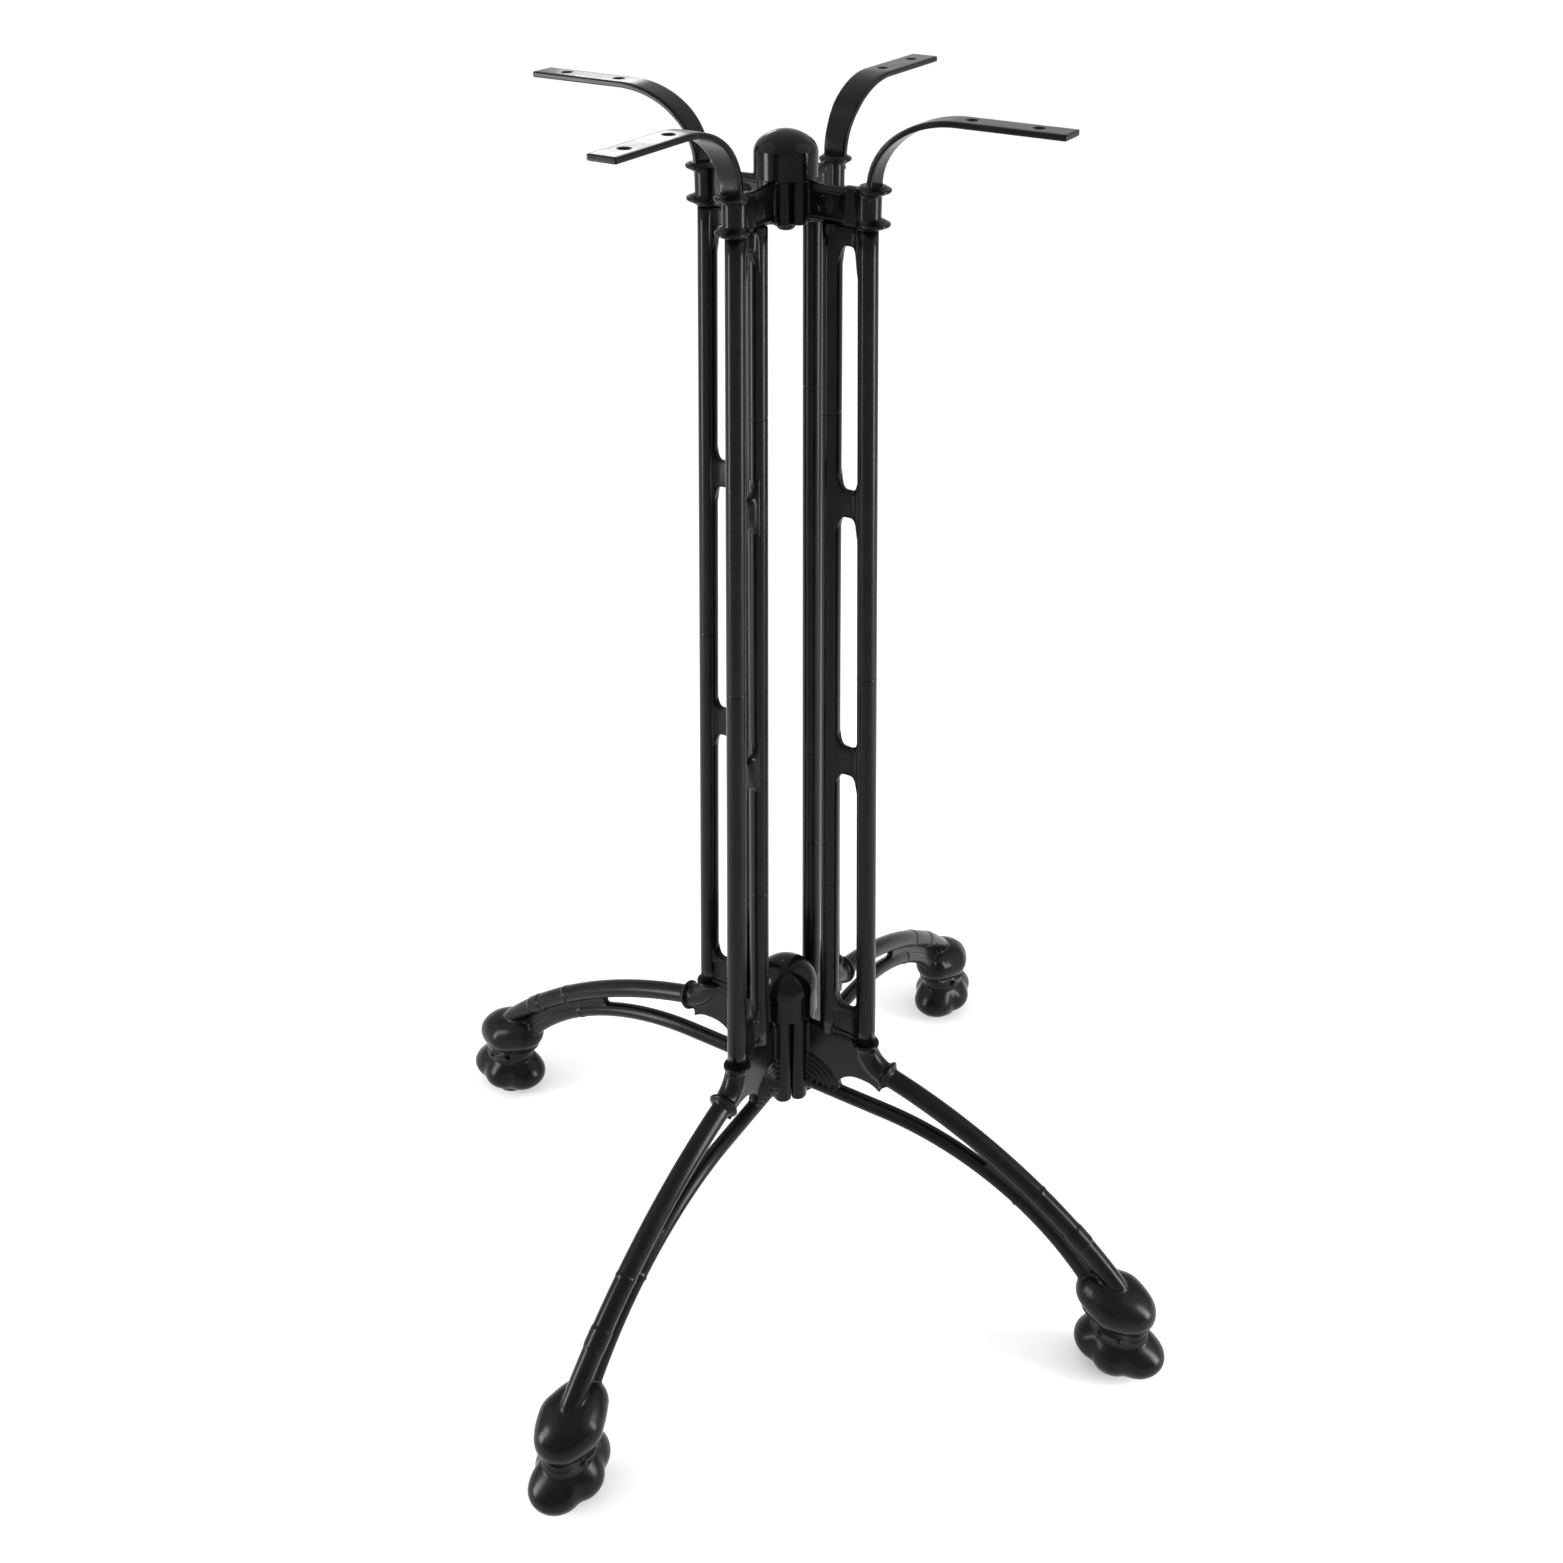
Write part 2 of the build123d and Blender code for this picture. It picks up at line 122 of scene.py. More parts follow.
def web(low, high, half, around=64, power=5.0):
    """Plate between two edge curves: (low+high)/2 + (high-low)/2*cos + half*sin*Y.

    A higher power makes its section squarer."""
    low, high = np.asarray(low, float), np.asarray(high, float)
    cos, sin = circle(around, power)
    middle, reach = (low + high) / 2, (high - low) / 2
    half = np.broadcast_to(half, len(low))[:, None]
    x = middle[:, :1] + reach[:, :1] * cos
    z = middle[:, 1:] + reach[:, 1:] * cos
    return closed_rings(np.stack([x, half * sin + 0 * x, z], axis=-1))


def lathe(profile, centre=(0, 0, 0), tilt=0.0, around=72, stretch=1.0):
    """Profile of (radius, height) turned round an axis that leans by tilt degrees towards +X."""
    profile = np.asarray(profile, float)
    cos, sin = circle(around)
    x = profile[:, :1] * cos * stretch
    y = profile[:, :1] * sin
    z = profile[:, 1:] + 0 * x
    lean = math.radians(tilt)
    turned = np.stack([x * math.cos(lean) + z * math.sin(lean), y,
                       z * math.cos(lean) - x * math.sin(lean)], axis=-1)
    return closed_rings(turned + np.asarray(centre, float))


def bead_profile(radius, half_height, plump=1.0):
    """Disc with a half-round rim: radius - h + h*cos, h*sin, from the underside to the top."""
    angle = np.linspace(-math.pi / 2, math.pi / 2, 17)
    rim = np.stack([radius - half_height * plump + half_height * plump * np.cos(angle),
                    half_height * np.sin(angle)], axis=1)
    return np.vstack([[0.5, -half_height], rim, [0.5, half_height]])


def together(parts):
    """Several skins as one list of points, quads and triangles."""
    points, quads, tris, start = [], [], [], 0
    for part_points, part_quads, part_tris in parts:
        points.append(part_points)
        quads.append(part_quads + start)
        tris.append(part_tris + start)
        start += len(part_points)
    return np.vstack(points), np.vstack(quads), np.vstack(tris)


def turned(skin, degrees):
    """A skin turned about the central axis."""
    angle = math.radians(degrees)
    turn = np.array([[math.cos(angle), math.sin(angle), 0],
                     [-math.sin(angle), math.cos(angle), 0],
                     [0, 0, 1]])
    points, quads, tris = skin
    return points @ turn, quads, tris


def as_mesh(name, skin):
    """Mesh data block from a skin in millimetres, smooth shaded."""
    points, quads, tris = skin
    mesh = bpy.data.meshes.new(name)
    mesh.from_pydata((points * MM).tolist(), [], quads.tolist() + tris.tolist())
    mesh.polygons.foreach_set("use_smooth", np.ones(len(mesh.polygons), bool))
    mesh.update()
    return mesh


def worked(skin, set_up):
    """The skin after a scratch object's modifiers, which set_up adds, as arrays."""
    work = bpy.data.objects.new("work", as_mesh("work", skin))
    bpy.context.collection.objects.link(work)
    set_up(work)
    shaped = work.evaluated_get(bpy.context.evaluated_depsgraph_get()).to_mesh()
    points = np.empty(len(shaped.vertices) * 3)
    shaped.vertices.foreach_get("co", points)
    sides = np.empty(len(shaped.polygons), int)
    shaped.polygons.foreach_get("loop_total", sides)
    loops = np.empty(len(shaped.loops), int)
    shaped.loops.foreach_get("vertex_index", loops)
    starts = np.empty(len(shaped.polygons), int)
    shaped.polygons.foreach_get("loop_start", starts)
    quads = loops[starts[sides == 4][:, None] + np.arange(4)]
    tris = loops[starts[sides == 3][:, None] + np.arange(3)]
    bpy.data.objects.remove(work)
    return points.reshape(-1, 3) / MM, quads, tris.reshape(-1, 3)


def cast_together(skin, voxel, rounds):
    """One cast skin from overlapping ones: remeshed at the voxel size in millimetres, then eased."""
    def set_up(work):
        remesh = work.modifiers.new("cast", "REMESH")
        remesh.mode = "VOXEL"
        remesh.voxel_size = voxel * MM
        ease = work.modifiers.new("ease", "SMOOTH")
        ease.factor = 0.5
        ease.iterations = rounds
    return worked(skin, set_up)


def drilled(skin, tools):
    """The skin with the closed tools cut away, all its faces as triangles."""
    tool = bpy.data.objects.new("tool", as_mesh("tool", tools))
    bpy.context.collection.objects.link(tool)

    def set_up(work):
        cut = work.modifiers.new("cut", "BOOLEAN")
        cut.operation = "DIFFERENCE"
        cut.object = tool
        work.modifiers.new("split", "TRIANGULATE")
    cut_skin = worked(skin, set_up)
    bpy.data.objects.remove(tool)
    return cut_skin


def add_piece(name, skin, material, body="base", stands_for=None):
    """A finished piece in the scene, riding on its body in place of its CAD node."""
    piece = bpy.data.objects.new(name, as_mesh(name, skin))
    bpy.context.collection.objects.link(piece)
    piece.data.materials.append(material)
    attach(piece, body)
    if stands_for:
        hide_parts(stands_for)
    return piece


# ------------------------------------------------------------------ lines shared by the castings
def arc(start, heading, radius, turn, stations):
    """Points on a circular bend: it starts at a point with a heading and turns by that many degrees."""
    first = math.radians(heading)
    side = math.copysign(1, turn)
    centre = np.array(start) + side * radius * np.array([-math.sin(first), math.cos(first)])
    swing = first - side * math.pi / 2 + np.radians(np.linspace(0, turn, stations))
    return centre + radius * np.stack([np.cos(swing), np.sin(swing)], axis=1)


def arc_to(start, heading, end, stations):
    """The one circular bend that leaves start with a heading and passes through end."""
    chord = np.array(end) - np.array(start)
    swing = math.degrees(math.atan2(chord[1], chord[0])) - heading
    radius = np.hypot(*chord) / (2 * math.sin(math.radians(abs(swing))))
    return arc(start, heading, radius, 2 * swing, stations)


KNUCKLE_BEND = 31.5
KNUCKLE_TURN = 76.0
KNUCKLE = arc((OUTER_ROD[1], LOW_HUB), -90.0, KNUCKLE_BEND, KNUCKLE_TURN, 25)
LEG_HEADING = KNUCKLE_TURN - 90.0
UPPER_RAIL = arc_to(KNUCKLE[-1], LEG_HEADING, (FOOT_X - 14.0, 105.5), 61)
LOWER_RAIL_Z = 196.0
LOWER_BEND_START = 110.0
LOWER_RAIL = arc_to((LOWER_BEND_START, LOWER_RAIL_Z), 0.0, (FOOT_X - 31.4, 86.0), 61)
UPPER_RAIL_RADIUS = 9.2
UPPER_BAND_RADIUS = 9.9
LOWER_RAIL_DEEP, LOWER_RAIL_WIDE = 7.6, 7.4
WAIST_SHIFT = 3.0                # the foot's waist sits this much nearer the axis than its base


def at_height(z, top, low):
    """Value at height z of what changes evenly between the two hubs."""
    return low + (z - LOW_HUB) / (TOP_HUB - LOW_HUB) * (top - low)


# ------------------------------------------------------------------ hubs
def hub_quarter(low, high, core=14.0, rib=6.8, rib_circle=13.4, rib_angle=22.0, seam=0.3):
    """Quarter of a hub: polar outline, the farthest of a core and two rib circles, between the seams."""
    angle = np.radians(np.linspace(-45, 45, 73))
    reach = np.full_like(angle, core)
    for side in (-1, 1):
        off = angle - math.radians(side * rib_angle)
        inside = rib ** 2 - (rib_circle * np.sin(off)) ** 2
        lobe = rib_circle * np.cos(off) + np.sqrt(np.maximum(inside, 0))
        reach = np.maximum(reach, np.where(inside > 0, lobe, 0))
    outline = np.stack([reach * np.cos(angle), reach * np.sin(angle)], axis=1)
    outline = np.vstack([[3.5, -3.5], outline, [3.5, 3.5]]) + [seam, 0]
    middle = outline.mean(axis=0)
    levels = np.array([low, low + 0.3, low + 1.0, high - 1.0, high - 0.3, high])
    shrink = np.array([0.93, 0.97, 1.0, 1.0, 0.97, 0.93])
    rings = middle + (outline - middle) * shrink[:, None, None]
    return closed_rings(np.dstack([rings, np.broadcast_to(levels[:, None], rings.shape[:2])]))


def frame_strip(x_low, x_high, z_low, z_high, band, half):
    """Four bars round a rectangular panel."""
    across = np.linspace(x_low, x_high, 9)
    upright = np.linspace(z_low, z_high, 9)
    strips = []
    for z in (z_low, z_high):
        strips.append(web(np.stack([across, across * 0 + z - band / 2], axis=1),
                          np.stack([across, across * 0 + z + band / 2], axis=1), half, 24, 3.0))
    for x in (x_low, x_high):
        strips.append(web(np.stack([upright * 0 + x - band / 2, upright], axis=1),
                          np.stack([upright * 0 + x + band / 2, upright], axis=1), half, 24, 3.0))
    return strips


# ------------------------------------------------------------------ top hub casting
def bracket_skin():
    """Quarter boss, panelled web, and the rounded socket between its two beads."""
    web_start, block_start = 10, 48
    across = np.linspace(web_start, OUTER_ROD[0], 40)
    dip = 1.2 * np.sin(math.pi * (across - web_start) / (OUTER_ROD[0] - web_start)) ** 2
    block = np.linspace(block_start, OUTER_ROD[0], 9)
    parts = [hub_quarter(TOP_BOSS, TOP_WEB + 1.0)]
    parts.append(web(np.stack([across, TOP_HUB + 0 * across], axis=1),
                     np.stack([across, TOP_WEB - dip], axis=1), 2.9, 64, 8.0))
    parts += frame_strip(19.0, 46.5, TOP_HUB + 3.5, TOP_WEB - 4.5, band=2.0, half=4.1)
    parts.append(web(np.stack([block, np.full(9, TOP_HUB)], axis=1),
                     np.stack([block, np.full(9, TOP_WEB)], axis=1), 4.4, 48, 6.0))
    stud_x, stud_z = 33.0, (TOP_HUB + TOP_WEB) / 2
    parts.append(across_boss(stud_x, stud_z, bead_profile(6.4, 3.4, 0.4)))
    parts.append(across_boss(stud_x, stud_z, bead_profile(3.2, 3.9, 0.4)))
    socket = [(0.5, TOP_HUB), (8.2, TOP_HUB), (8.8, TOP_HUB + 1),
              (8.8, TOP_WEB - 1), (8.2, TOP_WEB), (0.5, TOP_WEB)]
    parts.append(lathe(socket, (OUTER_ROD[0], 0, 0)))
    bead_half = 1.6
    collar = [(0.5, -3.0), (9.0, -3.0), (10.2, -1.2), (10.2, 1.2), (9.0, 3.0), (0.5, 3.0)]
    for low in (TOP_HUB + 2.6, BEAD_TOP - 2 * bead_half):
        parts.append(lathe(bead_profile(12.0, bead_half), (ARM_X, 0, low + bead_half)))
        parts.append(lathe(collar, (ARM_X - 1.0, 0, low + bead_half)))
    return cast_together(together(parts), voxel=0.7, rounds=6)


def across_boss(x, z, profile):
    """A lathe shape lying across the branch, its axis along Y."""
    points, quads, tris = lathe(profile)
    points = np.stack([points[:, 0] + x, points[:, 2], points[:, 1] + z], axis=1)
    return outward(points, quads, tris)


# ------------------------------------------------------------------ table arm
def arm_skin():
    """Flat strap with two screw holes; its bend is a quarter ellipse and it widens from root to tab.

    Bend: x = root + reach * (1 - cos t), z = start + rise * sin t.
    Half width: a straight line between its values at four shares of the bend's reach."""
    thick = 4.2
    reach, rise = 62.0, 46.4
    middle_z = TAB_TOP - thick / 2
    bend_z = middle_z - rise
    turn = np.linspace(0, math.pi / 2, 48)
    root = np.stack([np.full(8, ARM_X), np.linspace(BEAD_TOP - 3, bend_z, 8)], axis=1)
    bend = np.stack([ARM_X + reach * (1 - np.cos(turn)), bend_z + rise * np.sin(turn)], axis=1)
    tab = np.stack([np.linspace(ARM_X + reach, TAB_TIP - 0.3, 50), np.full(50, middle_z)], axis=1)
    path = np.vstack([root, bend[1:], tab[1:]])
    out = (path[:, 0] - ARM_X) / reach
    wide = np.interp(out, [0.0, 0.25, 0.8, 1.3], [8.8, 10.3, 11.0, STRAP_HALF])
    strap = bar(path, thick / 2, wide, 64, 9.0)
    drill = 2.75
    countersink = [(0.01, TAB_TOP - 9), (drill, TAB_TOP - 9), (drill, TAB_TOP - 1.6),
                   (5.0, TAB_TOP + 0.8), (0.01, TAB_TOP + 0.8)]
    holes = [lathe(countersink, (x, 0, 0), around=32) for x in SCREW_HOLES]
    return cast_together(drilled(strap, together(holes)), voxel=0.55, rounds=2)


# ------------------------------------------------------------------ column frame
def rod_skin(rod, low, high, seams=()):
    """Leaning tapered rod with fine parting lines: radius(z) minus a narrow dip at each seam."""
    z = np.linspace(low, high, 41)
    for seam in seams:
        z = np.append(z, seam + np.linspace(-1.6, 1.6, 9))
    z = np.unique(z)
    radius = at_height(z, rod[2], rod[3])
    for seam in seams:
        radius = radius - 0.45 * np.exp(-((z - seam) / 0.5) ** 2)
    path = np.stack([at_height(z, rod[0], rod[1]), z], axis=1)
    return bar(path, radius, radius, 56)


def cross_web(low, high, flare_low, flare_high, half=3.2):
    """Web between the rods: its edges and its thickness swell towards the rods as share**4."""
    share = np.linspace(-1, 1, 33)
    z_middle = (low + high) / 2
    inner = at_height(z_middle, INNER_ROD[0], INNER_ROD[1])
    outer = at_height(z_middle, OUTER_ROD[0], OUTER_ROD[1])
    centre, clear = (inner + outer) / 2, (outer - inner) / 2
    x = centre + clear * share
    gap = clear - at_height(z_middle, OUTER_ROD[2], OUTER_ROD[3])
    swell = np.clip(np.abs(x - centre) / gap, 0, 1.25) ** 4
    low_edge = np.stack([x, low - flare_low * swell], axis=1)
    high_edge = np.stack([x, high + flare_high * swell], axis=1)
    return web(low_edge, high_edge, half + 1.5 * np.minimum(swell, 1.5), 64, 4.0)


OUTER_SEAMS = (655.0,)           # heights of the parting lines round each rod
INNER_SEAMS = (868.0, 442.0)
CROSS_WEBS = ((787.5, 809.5), (557.0, 584.0))    # lower and upper edge of each


def column_skin():
    """Two rods, the top strip, two cross webs and the framed bottom panel."""
    parts = [rod_skin(OUTER_ROD, LOW_HUB - 1, TOP_HUB + 1, OUTER_SEAMS),
             rod_skin(INNER_ROD, LOW_HUB - 1, TOP_HUB + 1, INNER_SEAMS)]
    parts.append(cross_web(TOP_HUB - 13, TOP_HUB, 9.0, 0.0))
    for low, high in CROSS_WEBS:
        parts.append(cross_web(low, high, 8.0, 8.0))
    parts.append(cross_web(LOW_HUB + 1, LOW_HUB + 33, 0.0, 10.0, 2.2))
    parts.append(cross_web(LOW_HUB + 0.5, LOW_HUB + 5, 0.0, 2.0, 3.4))
    parts.append(cross_web(LOW_HUB + 29, LOW_HUB + 34, 2.0, 10.0, 3.4))
    return together(parts)


# ------------------------------------------------------------------ leg
def lobes(out, back, side, core, around=120):
    """Outline of four lobes round a core: at each angle, the farthest of them.

    Each lobe is a circle given as (offset, radius); the two side lobes are alike."""
    angle = np.linspace(0, 2 * math.pi, around, endpoint=False)
    reach = np.full(around, float(core))
    placed = ((0.0, out), (math.pi, back), (math.pi / 2, side), (-math.pi / 2, side))
    for middle, (offset, radius) in placed:
        off = (angle - middle + math.pi) % (2 * math.pi) - math.pi
        inside = radius ** 2 - (offset * np.sin(off)) ** 2
        far = offset * np.cos(off) + np.sqrt(np.maximum(inside, 0))
        near = (inside > 0) & ((np.abs(off) < math.pi / 2) | (offset < radius))
        reach = np.maximum(reach, np.where(near, far, 0))
    return reach


def eased(outline, reach):
    """An outline averaged over its neighbours, so that its lobes run into one another."""
    return np.mean([np.roll(outline, step) for step in range(-reach, reach + 1)], axis=0)


def leaning(skin, x, z, degrees):
    """A skin turned by degrees about the Y line through its own origin, then carried to x, z."""
    points, quads, tris = skin
    lean = math.radians(degrees)
    turn = np.array([[math.cos(lean), 0, -math.sin(lean)],
                     [0, 1, 0],
                     [math.sin(lean), 0, math.cos(lean)]])
    return points @ turn + np.array([x, 0, z]), quads, tris


def pillow(outline, half, plump):
    """Rounded body over an outline: outline * cos(s)**plump at height half * sin(s)."""
    angle = np.linspace(0, 2 * math.pi, len(outline), endpoint=False)
    swing = np.linspace(-math.pi / 2, math.pi / 2, 41)[:, None]
    radius = outline * np.cos(swing) ** plump + 0.01
    height = half * np.sin(swing) + 0 * radius
    return closed_rings(np.stack([radius * np.cos(angle), radius * np.sin(angle), height], axis=-1))


def foot_base():
    """Lobed base: its outline rounds under to the pad, then sweeps in to an oval waist.

    Radius below the widest level: outline * cos(s)**0.6.
    Radius above it: waist + (outline - waist) * ease, where ease falls from 1 to 0."""
    widest, under, over = 26.6, 18.4, 32.0       # the widest level, the depth below it, the height above it
    waist_x, waist_y = 25.5, 20.5
    outline = eased(lobes((19.5, 23.8), (19.3, 23.4), (10.0, 21.8), 8.0), 2)
    angle = np.linspace(0, 2 * math.pi, len(outline), endpoint=False)
    waist = 1 / np.hypot(np.cos(angle) / waist_x, np.sin(angle) / waist_y)
    swing = np.linspace(-math.pi / 2, 0, 19)[:, None]
    rise = np.linspace(0, 1, 25)[1:, None]
    ease = np.cos(math.pi / 2 * np.minimum(rise / 0.62, 1)) ** 0.8
    ease = 0.86 * ease + 0.14 * (0.5 + 0.5 * np.cos(math.pi * rise))
    radius = np.vstack([outline * np.cos(swing) ** 0.6 + 0.01, waist + (outline - waist) * ease])
    height = np.vstack([widest + under * np.sin(swing), widest + over * rise])
    x = FOOT_X + radius * np.cos(angle) - WAIST_SHIFT * np.maximum(height - widest, 0) / over
    return closed_rings(np.stack([x, radius * np.sin(angle), height + 0 * x], axis=-1))


def band(rail, station, length, radius):
    """Raised ring round a rail, starting at one of its stations."""
    way = rail[station + 1] - rail[station]
    run = rail[station] + np.linspace(0, length, 6)[:, None] * way / np.hypot(*way)
    return bar(run, radius, radius)


def foot_parts():
    """Leaning bulb over a lip and a neck, on the lobed base; the rail's end sinks into the bulb."""
    bulb_x, bulb_z, bulb_lean = FOOT_X - 7.5, 82.5, 15.0
    lip_x, lip_z, lip_lean = bulb_x + 1, 63.2, 12.0
    bulb = pillow(eased(lobes((14.1, 23.2), (17.8, 22.4), (6.5, 23.0), 8.0), 7), 21.5, 0.8)
    swing = np.linspace(-1.57, 1.57, 25)
    back_lobe = np.column_stack([22.0 * np.cos(swing) ** 0.8 + 0.01, 18.5 * np.sin(swing)])
    back = lathe(back_lobe, (-18.3, 0, -0.5))
    lip = pillow(0.94 * eased(lobes((14.1, 20.0), (17.8, 19.6), (6.5, 21.0), 8.0), 4), 2.8, 0.3)
    neck_profile = [(0.5, 50), (21.0, 50), (21.5, 62), (25.0, 80), (0.5, 80)]
    neck = lathe(neck_profile, (FOOT_X - WAIST_SHIFT, 0, 0), stretch=1.23)
    heading = UPPER_RAIL[-1] - UPPER_RAIL[-2]
    share = np.linspace(0, 1, 12)
    sunk = UPPER_RAIL[-1] + 17.0 * share[:, None] * heading / np.hypot(*heading)
    sunk_radius = UPPER_RAIL_RADIUS - 3.5 * share ** 2
    return [foot_base(), neck,
            leaning(together([bulb, back]), bulb_x, bulb_z, bulb_lean),
            leaning(lip, lip_x, lip_z, lip_lean),
            band(UPPER_RAIL, -14, 17.0, UPPER_BAND_RADIUS),
            bar(sunk, sunk_radius, sunk_radius)]


def pearls():
    """Two small balls on each flank of the waist."""
    swing = np.linspace(-math.pi / 2, math.pi / 2, 15)
    ball = 3.3 * np.column_stack([np.cos(swing) + 0.001, np.sin(swing)])
    balls = []
    for degrees, reach, z in ((117, 22.4, 56.4), (72, 22.0, 57.0)):
        for side in (-1, 1):
            angle = side * math.radians(degrees)
            x = FOOT_X - WAIST_SHIFT + 1.15 * reach * math.cos(angle)
            place = (x, reach * math.sin(angle), z)
            balls.append(lathe(ball, place, around=28))
    return balls


def leg_skin():
    """Boss, arched web, knuckle, beads, rails, rail web, scallops, foot and pearls as one skin.

    Arch: top - 26 * (|x - middle| / 32)**2.6, no lower than the web's foot."""
    parts = [hub_quarter(LOW_BOSS, LOW_BOSS_TOP, core=20.0, rib=9.2, rib_circle=17.6,
                         rib_angle=22.5, seam=0.4)]
    arch_middle, arch_top, arch_start, web_foot, web_end = 84, 225.5, 52, 190.0, 104
    x = np.linspace(12, 112, 70)
    x = x[x <= web_end]
    arch = arch_top - 26.0 * (np.abs(x - arch_middle) / 32.0) ** 2.6
    under = np.where(x < arch_start, web_foot, np.maximum(arch, web_foot))
    over = np.where(x < arch_middle, LOW_HUB, LOW_HUB - 0.9 * (x - arch_middle))
    parts.append(web(np.stack([x, under], axis=1), np.stack([x, over], axis=1), 4.0, 96, 9.0))
    parts.append(bar(KNUCKLE, 11.0, 10.5))
    parts.append(lathe(bead_profile(12.6, 2.2), (OUTER_ROD[1], 0, LOW_HUB - 1.2)))
    ring = (KNUCKLE[-1][0], 0, KNUCKLE[-1][1])
    parts.append(lathe(bead_profile(14.5, 2.2), ring, 90.0 - LEG_HEADING))
    parts.append(lathe(bead_profile(12.5, 4.5), ring, 90.0 - LEG_HEADING))
    parts.append(bar(UPPER_RAIL, UPPER_RAIL_RADIUS, UPPER_RAIL_RADIUS))
    level = np.array([[10, LOWER_RAIL_Z], [60, LOWER_RAIL_Z], [LOWER_BEND_START, LOWER_RAIL_Z]])
    parts.append(bar(level, LOWER_RAIL_DEEP, LOWER_RAIL_WIDE))
    parts.append(bar(LOWER_RAIL, LOWER_RAIL_DEEP, LOWER_RAIL_WIDE))
    web_start = int(0.42 * len(UPPER_RAIL))
    parts.append(web(LOWER_RAIL[web_start:], UPPER_RAIL[web_start:], 3.4, 64, 8.0))
    parts += [band(UPPER_RAIL, 37, 1.8, UPPER_BAND_RADIUS), band(LOWER_RAIL, 34, 1.8, 8.3)]
    parts += scallops()
    parts += foot_parts()
    return together([cast_together(together(parts), voxel=1.05, rounds=4)] + pearls())


def scallops():
    """Fan of raised arcs on the web, all centred on the corner of boss and lower rail."""
    ridges = []
    for radius in (8.0, 14.5, 21.0, 27.5, 34.0):
        path = arc((24.0 + radius, 198.0), 90.0, radius, 84.0, 25)
        ridges.append(bar(path, 2.1, 6.4, 24))
    return ridges


# ------------------------------------------------------------------ materials
class Graph:
    """Short calls for building one material's nodes."""

    def __init__(self, name):
        self.material = bpy.data.materials.new(name)
        self.material.use_nodes = True
        self.nodes = self.material.node_tree.nodes
        self.links = self.material.node_tree.links
        self.shader = self.nodes["Principled BSDF"]
        self.place = self.nodes.new("ShaderNodeTexCoord").outputs["Object"]

    def noise(self, scale, detail=3.0, rough=0.5):
        node = self.nodes.new("ShaderNodeTexNoise")
        node.inputs["Scale"].default_value = scale
        node.inputs["Detail"].default_value = detail
        node.inputs["Roughness"].default_value = rough
        self.links.new(self.place, node.inputs["Vector"])
        return node.outputs["Fac"]

    def remap(self, value, low, high, to_low, to_high):
        node = self.nodes.new("ShaderNodeMapRange")
        node.inputs["From Min"].default_value = low
        node.inputs["From Max"].default_value = high
        node.inputs["To Min"].default_value = to_low
        node.inputs["To Max"].default_value = to_high
        self.links.new(value, node.inputs["Value"])
        return node.outputs["Result"]

    def blend(self, factor, first, second):
        node = self.nodes.new("ShaderNodeMix")
        node.data_type = "RGBA"
        node.inputs["A"].default_value = (*first, 1)
        node.inputs["B"].default_value = (*second, 1)
        self.links.new(factor, node.inputs["Factor"])
        return node.outputs["Result"]

    def bump(self, height, depth_mm, strength, before=None):
        node = self.nodes.new("ShaderNodeBump")
        node.inputs["Distance"].default_value = depth_mm * MM
        node.inputs["Strength"].default_value = strength
        self.links.new(height, node.inputs["Height"])
        if before:
            self.links.new(before, node.inputs["Normal"])
        return node.outputs["Normal"]

    def set(self, socket, value):
        if isinstance(value, bpy.types.NodeSocket):
            self.links.new(value, self.shader.inputs[socket])
        else:
            self.shader.inputs[socket].default_value = value


def black_enamel(name, peel_mm, grain_mm, roughness):
    """Glossy black paint on a cast skin: fine grain under orange peel, with faint cloudy gloss."""
    graph = Graph(name)
    cloud = graph.noise(38.0, 4.0, 0.6)
    deep, pale = (0.0012, 0.0012, 0.0014), (0.0035, 0.0035, 0.0038)
    graph.set("Base Color", graph.blend(graph.remap(cloud, 0.3, 0.7, 0, 1), deep, pale))
    graph.set("Roughness", graph.remap(cloud, 0.25, 0.75, roughness - 0.05, roughness + 0.08))
    grain = graph.bump(graph.noise(1700.0, 2.0, 0.6), grain_mm, 0.6)
    graph.set("Normal", graph.bump(graph.noise(330.0, 2.0, 0.5), peel_mm, 0.8, grain))
    graph.set("Specular IOR Level", 0.12)
    return graph.material


def zinc_plate(name):
    """Pale zinc plating with cloudy gloss and fine scratches."""
    graph = Graph(name)
    cloud = graph.noise(260.0, 5.0, 0.6)
    graph.set("Base Color", graph.blend(cloud, (0.36, 0.36, 0.37), (0.58, 0.58, 0.57)))
    graph.set("Metallic", 1.0)
    graph.set("Roughness", graph.remap(cloud, 0.3, 0.7, 0.28, 0.46))
    graph.set("Normal", graph.bump(graph.noise(2600.0, 3.0, 0.6), 0.02, 0.5))
    return graph.material


def moulded_rubber(name):
    """Matt black moulded rubber with a fine tooled grain."""
    graph = Graph(name)
    cloud = graph.noise(120.0, 4.0, 0.6)
    graph.set("Base Color", graph.blend(cloud, (0.012, 0.012, 0.012), (0.028, 0.027, 0.026)))
    graph.set("Roughness", graph.remap(cloud, 0.3, 0.7, 0.62, 0.8))
    graph.set("Normal", graph.bump(graph.noise(1900.0, 3.0, 0.7), 0.05, 0.8))
    return graph.material


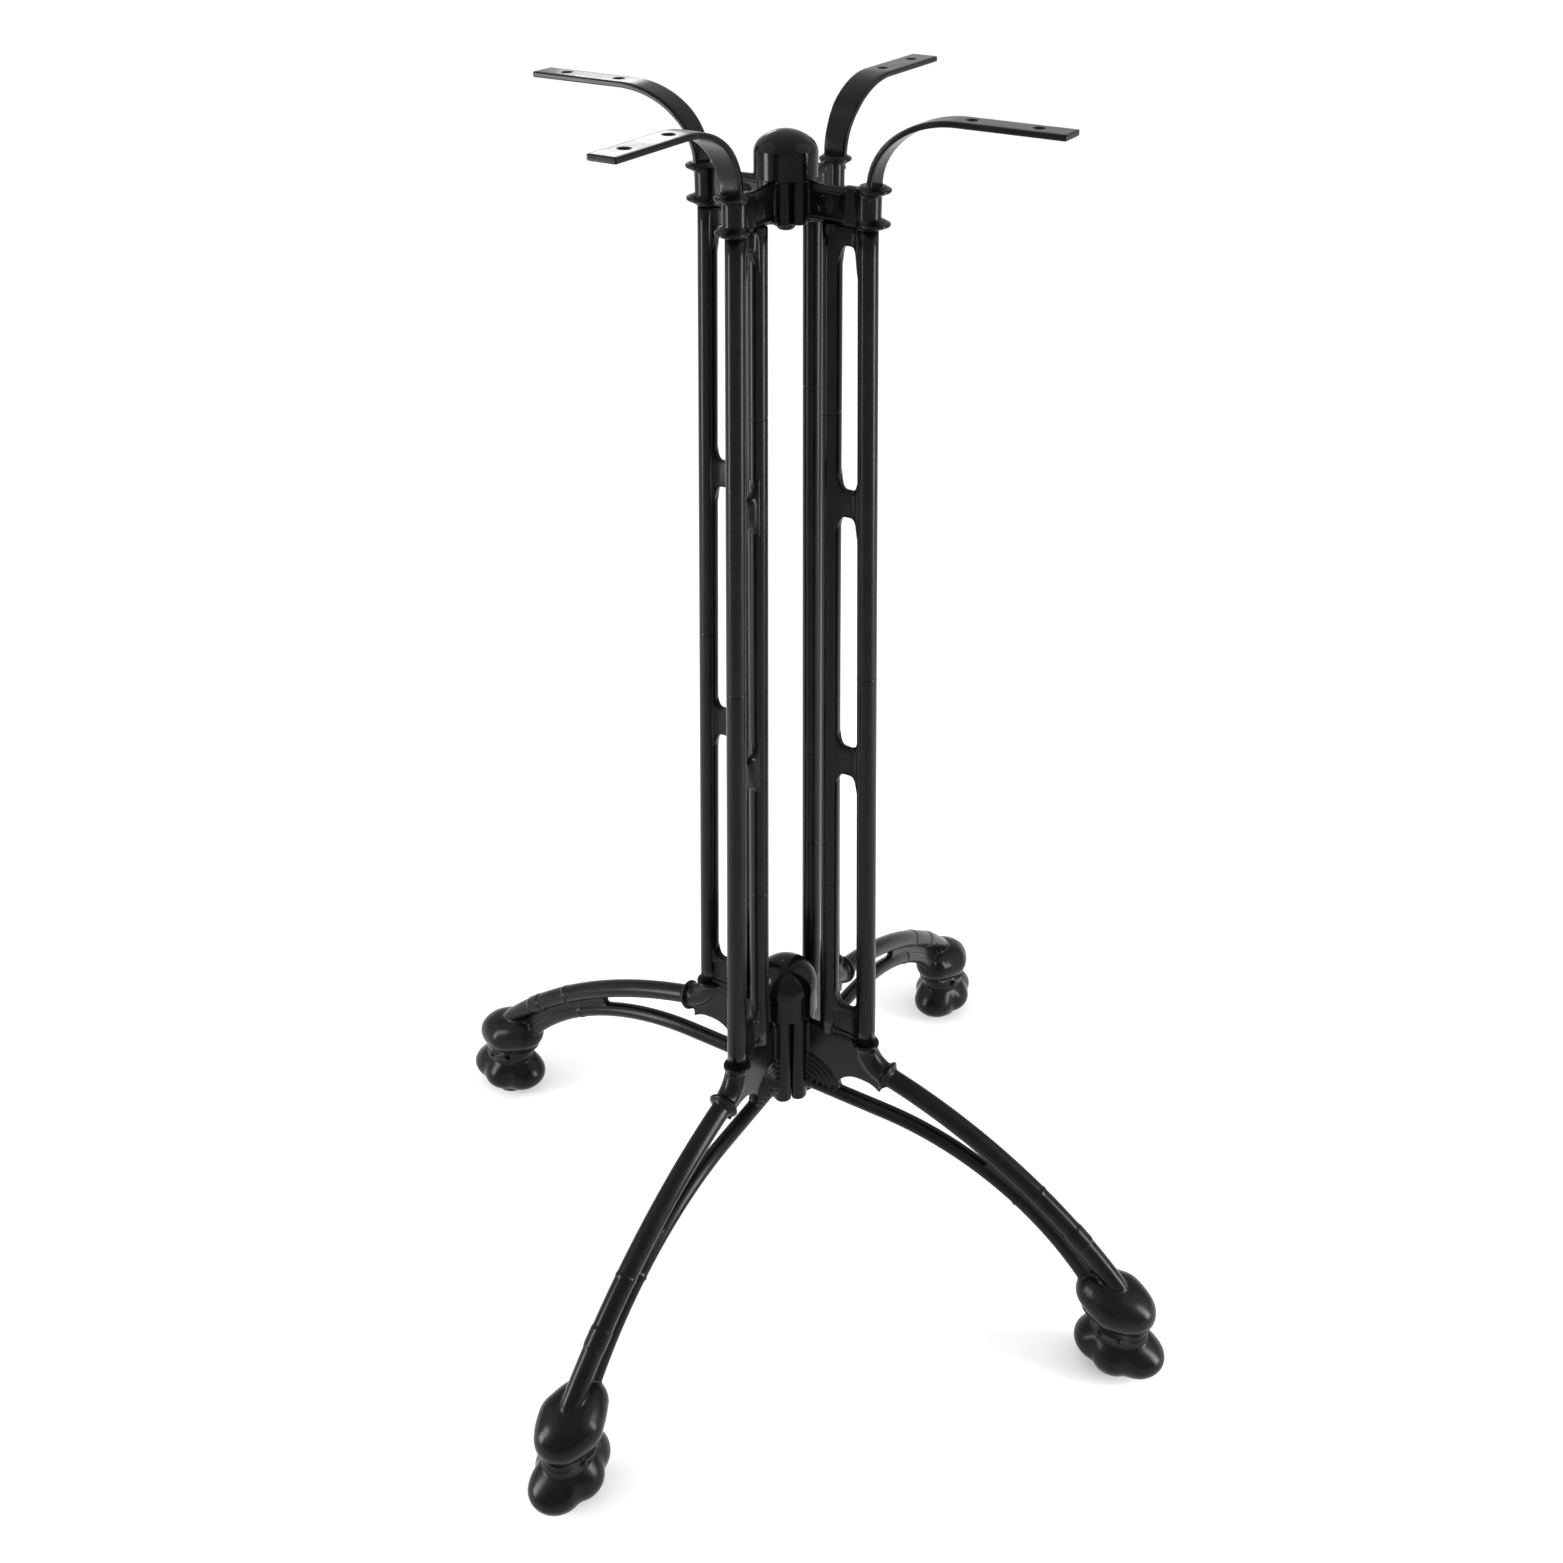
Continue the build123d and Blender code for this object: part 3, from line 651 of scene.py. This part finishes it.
# ------------------------------------------------------------------ building
ENAMEL = black_enamel("cast_black_enamel", peel_mm=0.07, grain_mm=0.03, roughness=0.22)
STRAP_ENAMEL = black_enamel("strap_black_enamel", peel_mm=0.04, grain_mm=0.015, roughness=0.18)
CAP_ENAMEL = black_enamel("cap_black_enamel", peel_mm=0.03, grain_mm=0.01, roughness=0.11)
ZINC = zinc_plate("zinc_plated_steel")
RUBBER = moulded_rubber("moulded_rubber")


def build_branches():
    """The four branches, each made once and turned into its place."""
    skins = {"arm_bracket": (bracket_skin(), ENAMEL, "black_casting"),
             "table_arm": (arm_skin(), STRAP_ENAMEL, "black_strap"),
             "column_frame": (column_skin(), ENAMEL, "black_casting"),
             "leg": (leg_skin(), ENAMEL, "black_casting")}
    for node, (skin, material, finish) in skins.items():
        for side, angle in BRANCHES.items():
            add_piece(f"cast_{node}_{side}", turned(skin, angle), material,
                      stands_for=f"{node}_{side}")


def dress_cad_nodes():
    """Finishes for the nodes whose own shape is right."""
    for name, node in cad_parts.items():
        if name.startswith("leveller_pad"):
            finish = RUBBER
        elif name.endswith("_cap"):
            finish = CAP_ENAMEL
        elif name.endswith(("_pins", "_bolt")):
            finish = ENAMEL
        else:
            finish = ZINC
        for slot in node.material_slots:
            slot.material = finish


# name, azimuth, height above the horizon, angular size (degrees), power
SUNS = (("sky", 0, 90, 80, 0.3), ("left", 215, 34, 60, 0.7), ("right", 25, 34, 60, 0.8))
# name, place, aim, width and height (metres), power (watts)
SOFT_BOXES = (("left_box", (-1.25, -1.35, 0.75), (0, 0, 0.7), (0.45, 1.4), 38.0),
              ("right_box", (1.75, 0.45, 0.75), (0, 0, 0.7), (0.45, 1.4), 42.0),
              ("glint", (-0.70, 0.77, 1.33), (0, -0.18, 1.08), (0.16, 0.16), 0.4))


def studio():
    """Pale floor, soft overhead and side light, near-white surroundings."""
    half = 30.0
    floor_mesh = bpy.data.meshes.new("floor")
    floor_mesh.from_pydata([(-half, -half, 0), (half, -half, 0), (half, half, 0), (-half, half, 0)],
                           [], [(0, 1, 2, 3)])
    floor = bpy.data.objects.new("floor", floor_mesh)
    bpy.context.collection.objects.link(floor)
    paint = Graph("pale_floor")
    paint.set("Base Color", (0.9, 0.9, 0.9, 1))
    paint.set("Roughness", 0.9)
    floor.data.materials.append(paint.material)
    world = bpy.data.worlds.new("studio")
    bpy.context.scene.world = world
    world.use_nodes = True
    surroundings = world.node_tree.nodes["Background"].inputs
    surroundings["Color"].default_value = (1, 1, 1, 1)
    surroundings["Strength"].default_value = 0.78
    for name, azimuth, height, spread, power in SUNS:
        lamp = bpy.data.lights.new(name, "SUN")
        lamp.energy = power
        lamp.angle = math.radians(spread)
        light = bpy.data.objects.new(name, lamp)
        bpy.context.collection.objects.link(light)
        light.matrix_world = (Matrix.Rotation(math.radians(azimuth), 4, "Z")
                              @ Matrix.Rotation(math.radians(90 - height), 4, "Y"))
    for name, place, aim, size, power in SOFT_BOXES:
        lamp = bpy.data.lights.new(name, "AREA")
        lamp.shape = "RECTANGLE"
        lamp.size, lamp.size_y = size
        lamp.energy = power
        light = bpy.data.objects.new(name, lamp)
        bpy.context.collection.objects.link(light)
        light.visible_camera = False
        way = Vector(aim) - Vector(place)
        light.matrix_world = Matrix.Translation(place) @ way.to_track_quat("-Z", "Y").to_matrix().to_4x4()


def camera():
    """Camera a little above the arms, looking down at the base."""
    lens = bpy.data.cameras.new("camera")
    lens.sensor_width = 36.0
    lens.lens = 36.666
    lens.shift_x = -0.01447
    lens.shift_y = -0.02658
    view = bpy.data.objects.new("camera", lens)
    bpy.context.collection.objects.link(view)
    view.matrix_world = (Matrix.Translation((0.5844, -0.9717, 1.2830))
                         @ Matrix.Rotation(math.radians(30.25), 4, "Z")
                         @ Matrix.Rotation(math.radians(57.889), 4, "X")
                         @ Matrix.Rotation(math.radians(0.403), 4, "Z"))
    bpy.context.scene.camera = view


bpy.context.scene.view_settings.view_transform = "Standard"
build_branches()
dress_cad_nodes()
studio()
camera()
